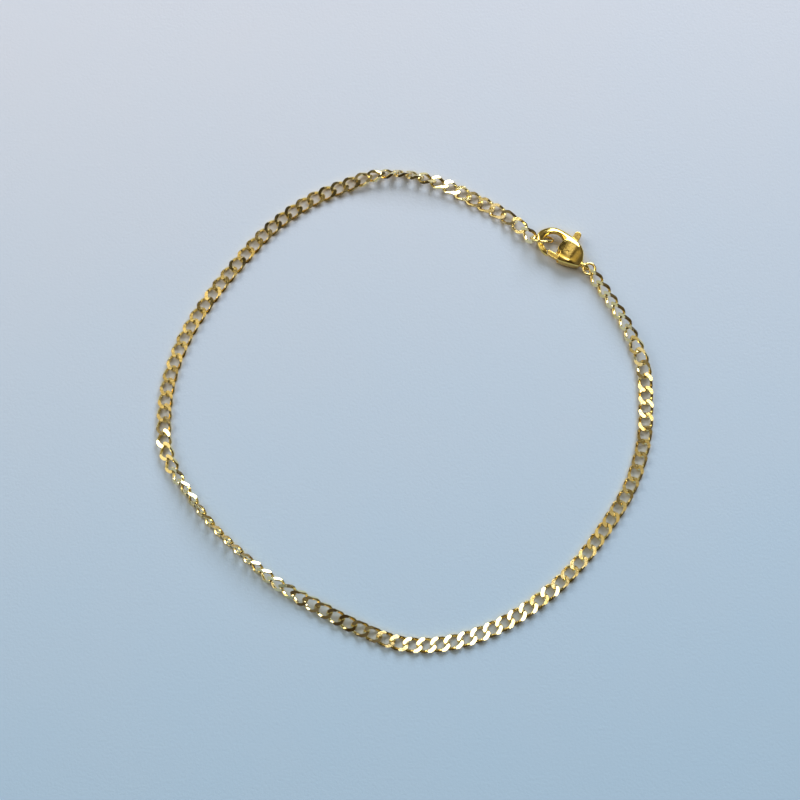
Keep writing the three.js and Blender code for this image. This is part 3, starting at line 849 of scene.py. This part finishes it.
def body_ring(along_share, across_share, half, deep, squareness, sides=88):
    """The points of one cross-section."""
    ring = []
    for angle in np.linspace(0, 2 * math.pi, sides, endpoint=False):
        y = (across_share + half * squared_off(math.cos(angle), squareness)) * CLASP_WIDTH
        z = deep * squared_off(math.sin(angle), squareness) * CLASP_DEPTH / 2
        ring.append((along_share * CLASP_LENGTH, y, z))
    return ring


widest = max(half for _, _, half, _, _ in BODY_SECTIONS)
print("the body has", len(BODY_SECTIONS), "sections, the widest", round(2 * widest * CLASP_WIDTH, 2), "mm")

# %% The cast body
def hole_plug():
    """The hole through the hook, wider at both faces."""
    reach = 0.9 * HOOK_WALL_ROUNDING
    rings = []
    for height in np.linspace(-reach, reach, 17):
        flare = HOOK_WALL_ROUNDING - math.sqrt(HOOK_WALL_ROUNDING**2 - height**2)
        rings.append(round_points(HOLE_CENTRE, HOOK_HOLE / 2 + flare, height, 72))
    return skin("plug", rings)


def mouth():
    """The opening that the gate arm closes, out to the arc that its tip sweeps."""
    inner = HOLE_CENTRE.y + HOOK_HOLE / 4
    corners = [
        (MOUTH_START, inner),
        (CLASP_LENGTH, inner),
        (CLASP_LENGTH, CLASP_WIDTH),
        (MOUTH_START - LEVER_ARM, CLASP_WIDTH),
    ]
    cut = prism([Vector(corner) for corner in corners], 1.2 * CLASP_DEPTH)
    sweep = disc(PIVOT, 2 * (LEVER_REACH + LEVER_SIDE_GAP), 1.3 * CLASP_DEPTH, ARC_SIDES)
    cut_or_join(cut, "INTERSECT", sweep)
    return cut


def swept_slot(target, last, width, reach):
    """The room that an arm needs as it swings from `last` to `target` and on by the lever's opening."""
    half = width / 2 + LEVER_SIDE_GAP
    first_way = target - PIVOT
    last_way = last - PIVOT
    first = math.degrees(math.atan2(first_way.y, first_way.x) - LEVER_OPENING)
    final = math.degrees(math.atan2(last_way.y, last_way.x))
    middle = (first + final) / 2
    corners = [
        (first, -90, 0),
        (first, -90, reach),
        (middle, 0, reach),
        (final, 90, reach),
        (final, 90, 0),
        (middle, 180, 0),
    ]
    outline = [PIVOT + level(turn) * out + level(turn + more) * half for turn, more, out in corners]
    return prism(outline, LEVER_THICKNESS + 2 * LEVER_SIDE_GAP)


def cast_body():
    """The casting with its eye, before it is tumbled."""
    sections = smooth_curve(BODY_SECTIONS, 8)
    made = skin("body", [body_ring(*row) for row in sections])
    eye = round_wire(EYE_RADIUS, EYE_WIRE, steps=48)
    eye.data.transform(Matrix.Translation(EYE_CENTRE) @ Matrix.Rotation(math.pi / 2, 4, "X"))
    cut_or_join(made, "UNION", eye)
    slot_depth = LEVER_THICKNESS + 2 * LEVER_SIDE_GAP
    gate_slot = swept_slot(GATE_END, ELBOW, LEVER_ARM, (ELBOW - PIVOT).length + LEVER_ARM)
    tab_slot = swept_slot(TAB_END, TAB_END, LEVER_TAB, CLASP_WIDTH)
    hub_room = disc(PIVOT, LEVER_HUB + 2 * LEVER_SIDE_GAP, slot_depth)
    for tool in (hole_plug(), mouth(), gate_slot, tab_slot, hub_room):
        cut_or_join(made, "DIFFERENCE", tool)
    return made


body = cast_body()
tumble(body, voxel=0.04)
finish_piece(body, "clasp_body", "bracelet", CLASP_GOLD, CLASP_FRAME)

# %% [markdown]
# ## The lever and its rivet
#
# One cast lever does two jobs: its long arm is the gate across the hook, and its tab sticks out on the
# other side for a thumbnail. It turns on a rivet with domed ends. The lever's bars are joined, cut to the
# arc that its tip sweeps, and tumbled like the body. The rivet is a turned piece, so its outline is spun.

# %% Lever and rivet
RIVET_HALF_LENGTH = 0.97 * CLASP_HEIGHT
RIVET_HEAD = 0.62  # diameter of the heads
DOME_HEIGHT = 0.06


def cast_lever():
    """The gate arm, the thumb tab and the boss round the rivet, in one piece."""
    made = bar(ELBOW, GATE_END, LEVER_ARM, LEVER_THICKNESS)
    cut_or_join(made, "INTERSECT", disc(PIVOT, 2 * LEVER_REACH, 2 * LEVER_THICKNESS, ARC_SIDES))
    parts = [
        bar(PIVOT, ELBOW, LEVER_ARM, LEVER_THICKNESS),
        bar(PIVOT, TAB_END, LEVER_TAB, LEVER_THICKNESS),
        disc(PIVOT, LEVER_HUB, LEVER_THICKNESS),
    ]
    for part in parts:
        cut_or_join(made, "UNION", part)
    bore = RIVET_DIAMETER + 2 * LEVER_RUNNING_GAP
    cut_or_join(made, "DIFFERENCE", disc(PIVOT, bore, 2 * LEVER_THICKNESS))
    return made


def domed_rivet():
    """The rivet, with a shallow dome on a slightly wider head at each end."""
    rim = RIVET_HALF_LENGTH - 0.01
    profile = []
    for angle in np.linspace(0.2, 1.5, 8):
        profile.append((RIVET_HEAD / 2 * math.sin(angle), rim + DOME_HEIGHT * math.cos(angle)))
    profile.append((RIVET_DIAMETER / 2, rim - 0.02))
    full = profile + [(radius, -height) for radius, height in reversed(profile)]
    made = skin("rivet", [round_points(PIVOT, radius, height, 48) for radius, height in full])
    made.data.shade_smooth()
    return made


lever = cast_lever()
tumble(lever, voxel=0.03)
finish_piece(lever, "clasp_lever", "lever", CLASP_GOLD, CLASP_FRAME)
finish_piece(domed_rivet(), "rivet_pin", "bracelet", CLASP_GOLD, CLASP_FRAME)

# %% [markdown]
# ## The surface
#
# The bracelet lies on a pale blue-grey board with a fine grain. A large plane carries it. Its colour
# drifts softly, and painted light makes it paler and less blue towards the far side and a little to the
# left. Its grain is a bump too small to cast shadows. Gold throws warm light on whatever is close to it,
# which takes a renderer long to find, so warm shade is painted into the board's colour instead: it is
# darker and warmer where the bracelet covers part of its sky.

# %% The board
def board_finish():
    """A pale matt board, with warm shade painted into its colour close to the gold."""
    material = bpy.data.materials.new("pale_board")
    material.use_nodes = True
    material.node_tree.nodes.clear()
    graph = Graph(material.node_tree)
    where = graph.node("ShaderNodeTexCoord", output=3)
    x = graph.node("ShaderNodeSeparateXYZ", None, {0: where}, 0)
    y = graph.node("ShaderNodeSeparateXYZ", None, {0: where}, 1)
    drift = noise(graph, where, size_mm=14.0, detail=3.0)
    grain = noise(graph, where, size_mm=0.35, detail=4.0)
    # Painted light: the board is paler and less blue towards the far side and a little to the left, as if the
    # light fell off across it.
    painted_light_falloff = (y - 0.1 * x).rising(-0.065, 0.07)
    share = 0.8 * painted_light_falloff + 0.12 * drift + 0.08 * grain
    board_color = graph.blend(share, (0.385, 0.565, 0.77, 1), (0.545, 0.565, 0.65, 1))
    # Painted shade and bounce light: where the bracelet hides the board's sky, its colour is blended towards
    # darker, warmer tones.
    open_sky = graph.node("ShaderNodeAmbientOcclusion", {"samples": 8}, {"Distance": 1.6 * MM}, 1)
    painted_warm_shade_color = graph.blend(share, (0.44, 0.47, 0.45, 1), (0.6, 0.5, 0.42, 1))
    color = graph.blend(open_sky.rising(0.95, 0.35), board_color, painted_warm_shade_color)
    bump_values = {"Strength": 0.5, "Distance": 0.05 * MM, "Height": grain}
    normal = graph.node("ShaderNodeBump", None, bump_values)
    board_values = {"Base Color": color, "Roughness": 0.7, "Normal": normal}
    board = graph.node("ShaderNodeBsdfPrincipled", None, board_values)
    graph.node("ShaderNodeOutputMaterial", None, {"Surface": board})
    return material


BOARD_HALF = 600 * MM
board_corners = [(-BOARD_HALF, -BOARD_HALF, 0), (BOARD_HALF, -BOARD_HALF, 0)]
board_corners += [(BOARD_HALF, BOARD_HALF, 0), (-BOARD_HALF, BOARD_HALF, 0)]
floor_mesh = bpy.data.meshes.new("floor")
floor_mesh.from_pydata(board_corners, [], [(0, 1, 2, 3)])
floor_mesh.materials.append(board_finish())
new_object("floor", floor_mesh)
print("the board is", round(2 * BOARD_HALF, 2), "m wide")

# %% [markdown]
# ## Light
#
# Polished metal shows the room. A broad soft light at the upper right gives the shadows their direction,
# and a lamp overhead lights the filed faces. The rest of the room is dim, with a few soft patches of light
# and dark: each shows up in the links that face it, so one side of the chain is yellow, one is nearly
# white and one is dark.

# %% Lights
def soft_light(name, toward, distance, size, power, color):
    """A square area light that stands off in one direction and faces the bracelet."""
    data = bpy.data.lights.new(name, "AREA")
    data.size = size
    data.energy = power
    data.color = color
    made = bpy.data.objects.new(name, data)
    scene.collection.objects.link(made)
    direction = Vector(toward).normalized()
    made.location = direction * distance
    made.rotation_euler = direction.to_track_quat("Z", "Y").to_euler()
    print(name, "gives", power, "W from", distance, "m")


soft_light("window", (0.3, 0.78, 0.62), 0.5, 0.3, 2.5, (0.87, 0.94, 1.0))
soft_light("overhead_lamp", (0.0, 0.03, 1.0), 0.5, 0.105, 0.16, (1.0, 0.98, 0.95))
soft_light("far_window", (-0.62, 0.45, 0.62), 0.36, 0.16, 0.4, (1.0, 0.96, 0.9))

# %% [markdown]
# The room is a world shader on the direction that a ray leaves in. Each patch is the cone round one
# direction, with a soft edge, and a coarse noise stands for the things in the room.

# %% Surroundings
# Each patch: which way it lies, how far it reaches in degrees, its soft edge in degrees, and its colour
ROOM_PATCHES = [
    ((-0.85, 0.3, 0.4), 26, 14, (1.25, 1.15, 0.85)),
    ((-0.17, 0.18, 0.97), 9, 4, (1.9, 1.6, 0.95)),
    ((0.13, 0.1, 0.985), 5, 4, (1.2, 1.05, 0.65)),
    ((0.4, 0.0, 0.9), 6, 6, (0.62, 0.52, 0.3)),
    ((-0.1, 0.4, 0.91), 8, 4, (0.035, 0.03, 0.02)),
    ((0.17, 0.25, 0.953), 3.5, 6, (0.13, 0.1, 0.05)),
    ((0.085, 0.37, 0.925), 3.2, 2.2, (1.5, 1.38, 1.2)),
]


def room_light():
    """A dim room that is darker low down, with its patches and the dark side that the camera is on."""
    world = bpy.data.worlds.new("room")
    scene.world = world
    world.use_nodes = True
    world.node_tree.nodes.clear()
    graph = Graph(world.node_tree)
    heading = graph.node("ShaderNodeTexCoord", output=0)
    x, y, z = [graph.node("ShaderNodeSeparateXYZ", None, {0: heading}, i) for i in range(3)]
    color = graph.blend(z.rising(0.0, 0.9), (0.06, 0.05, 0.035, 1), (0.2, 0.18, 0.15, 1))
    for toward, reach, edge, patch_color in ROOM_PATCHES:
        dot_values = {0: heading, 1: Vector(toward).normalized()}
        nearness = graph.node("ShaderNodeVectorMath", {"operation": "DOT_PRODUCT"}, dot_values, 1)
        inside = nearness.rising(math.cos(math.radians(reach + edge)), math.cos(math.radians(reach)))
        color = graph.blend(inside, color, (*patch_color, 1))
    things = graph.node("ShaderNodeTexNoise", None, {"Vector": heading, "Scale": 9.0, "Detail": 2.0})
    things_shade = 0.6 * things.rising(0.53, 0.43)
    camera_side = y.rising(-0.1, -0.3) * abs(x).rising(0.36, 0.2)
    shade = things_shade.math("MAXIMUM", things_shade, camera_side)
    color = graph.blend(shade, color, (0.035, 0.025, 0.015, 1))
    background = graph.node("ShaderNodeBackground", None, {"Color": color, "Strength": 1.0})
    graph.node("ShaderNodeOutputWorld", None, {"Surface": background})


room_light()
scene.view_settings.view_transform = "Standard"
print("the room has", len(ROOM_PATCHES), "patches of light and dark")
